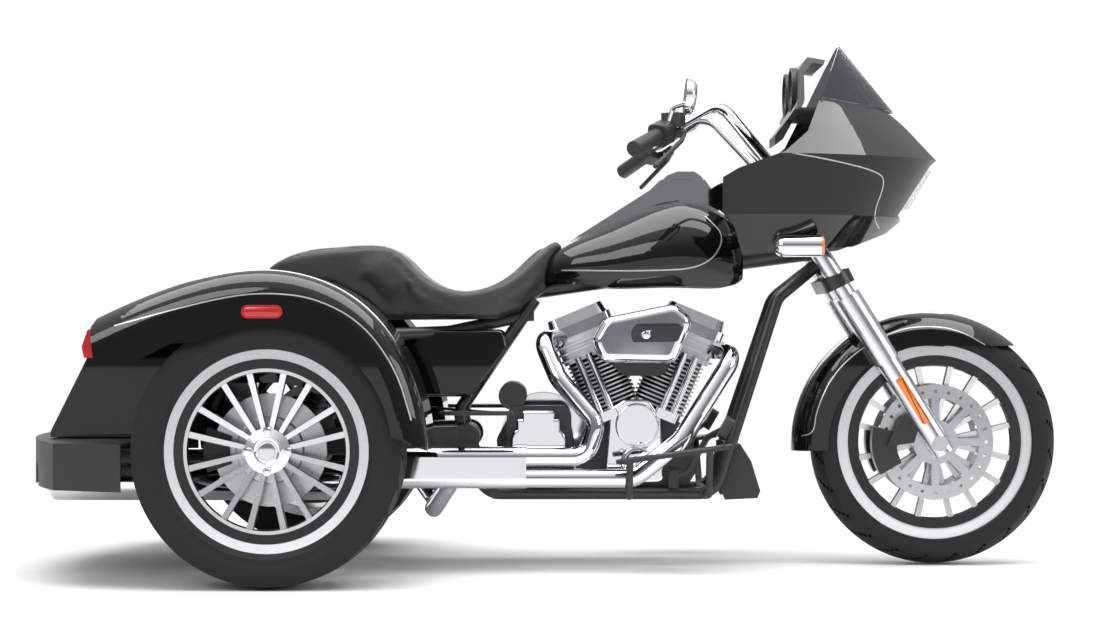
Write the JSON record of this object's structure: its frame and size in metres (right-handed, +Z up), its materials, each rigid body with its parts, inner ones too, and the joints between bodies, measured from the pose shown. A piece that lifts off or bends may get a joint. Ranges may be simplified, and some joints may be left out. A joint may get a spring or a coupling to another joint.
{
  "type": "motorized trike",
  "caption": "Touring motorcycle trike with an open V-twin engine, a fixed nose fairing, one steered front wheel and a rear trunk between wide fenders.",
  "frame": {"origin": "bottom centre of the bounding box, on the ground under the middle of the machine", "axes": "+X forward, +Y to the rider's left, +Z up"},
  "size_m": [2.6429, 1.39, 1.3596],
  "materials": {
    "tyre": "matt",
    "machined_rim": "machined",
    "brake_steel": "ground",
    "black_paint": "gloss",
    "satin_black": "satin",
    "chrome": "polished",
    "black_plastic": "grained",
    "seat_cover": "soft grain",
    "smoked_screen": "smoked clear",
    "lamp_lens": "clear",
    "red_lens": "clear gloss",
    "belt_rubber": "matt"
  },
  "bodies": {
    "chassis": {"fuel_tank": "black_paint", "fender_right": "black_paint", "fender_left": "black_paint", "trunk_tub": "black_paint", "side_covers": "black_paint", "fairing_shell": "black_paint", "main_frame": "satin_black", "rear_axle_housing": "satin_black", "crankcase": "satin_black", "cylinders": "satin_black", "gearbox": "satin_black", "air_cleaner_base": "satin_black", "foot_controls": "satin_black", "rear_calipers": "satin_black", "rear_shocks": "satin_black", "belt_pulleys": "satin_black", "rocker_boxes": "chrome", "pushrod_tubes": "chrome", "engine_covers": "chrome", "primary_cover": "chrome", "gearbox_side_cover": "chrome", "air_cleaner_cover": "chrome", "exhaust_headers": "chrome", "mufflers": "chrome", "tank_console": "chrome", "turn_signals": "chrome", "horn": "chrome", "inner_fairing": "black_plastic", "chin_spoiler": "black_plastic", "rear_bumper": "black_plastic", "footboards": "black_plastic", "seat": "seat_cover", "windshield": "smoked_screen", "headlamp": "lamp_lens", "tail_lamps": "red_lens", "drive_belt": "belt_rubber"},
    "steering": {"yokes": "satin_black", "fork_legs": "chrome", "handlebar": "chrome", "hand_controls": "black_plastic", "mirrors": "chrome", "front_fender": "black_paint", "front_calipers": "satin_black"},
    "front_wheel": {"front_tyre": "tyre", "front_rim": "machined_rim", "front_discs": "brake_steel"},
    "rear_wheel_right": {"rear_tyre_right": "tyre", "rear_rim_right": "machined_rim", "rear_disc_right": "brake_steel"},
    "rear_wheel_left": {"rear_tyre_left": "tyre", "rear_rim_left": "machined_rim", "rear_disc_left": "brake_steel"},
    "trunk_door": {"trunk_door": "black_paint"},
    "fuel_door": {"fuel_door": "chrome"}
  },
  "joints": [
    {"name": "steering", "type": "hinge", "parent": "chassis", "child": "steering", "pos_m": [0.74105, 0, 0.738], "axis": [-0.4384, 0, 0.8988], "range_deg": [-32, 32]},
    {"name": "front_wheel_spin", "type": "hinge", "parent": "steering", "child": "front_wheel", "pos_m": [1.002, 0, 0.3195], "axis": [0, 1, 0], "continuous": true},
    {"name": "rear_wheel_right_spin", "type": "hinge", "parent": "chassis", "child": "rear_wheel_right", "pos_m": [-0.668, -0.565, 0.3255], "axis": [0, 1, 0], "continuous": true},
    {"name": "rear_wheel_left_spin", "type": "hinge", "parent": "chassis", "child": "rear_wheel_left", "pos_m": [-0.668, 0.565, 0.3255], "axis": [0, 1, 0], "continuous": true},
    {"name": "trunk_door_hinge", "type": "hinge", "parent": "chassis", "child": "trunk_door", "pos_m": [-1.24482, 0, 0.37331], "axis": [0, -1, 0], "range_deg": [0, 90]},
    {"name": "fuel_door_hinge", "type": "hinge", "parent": "chassis", "child": "fuel_door", "pos_m": [0.397, 0, 1.006], "axis": [0, 1, 0], "range_deg": [0, 90]}
  ]
}
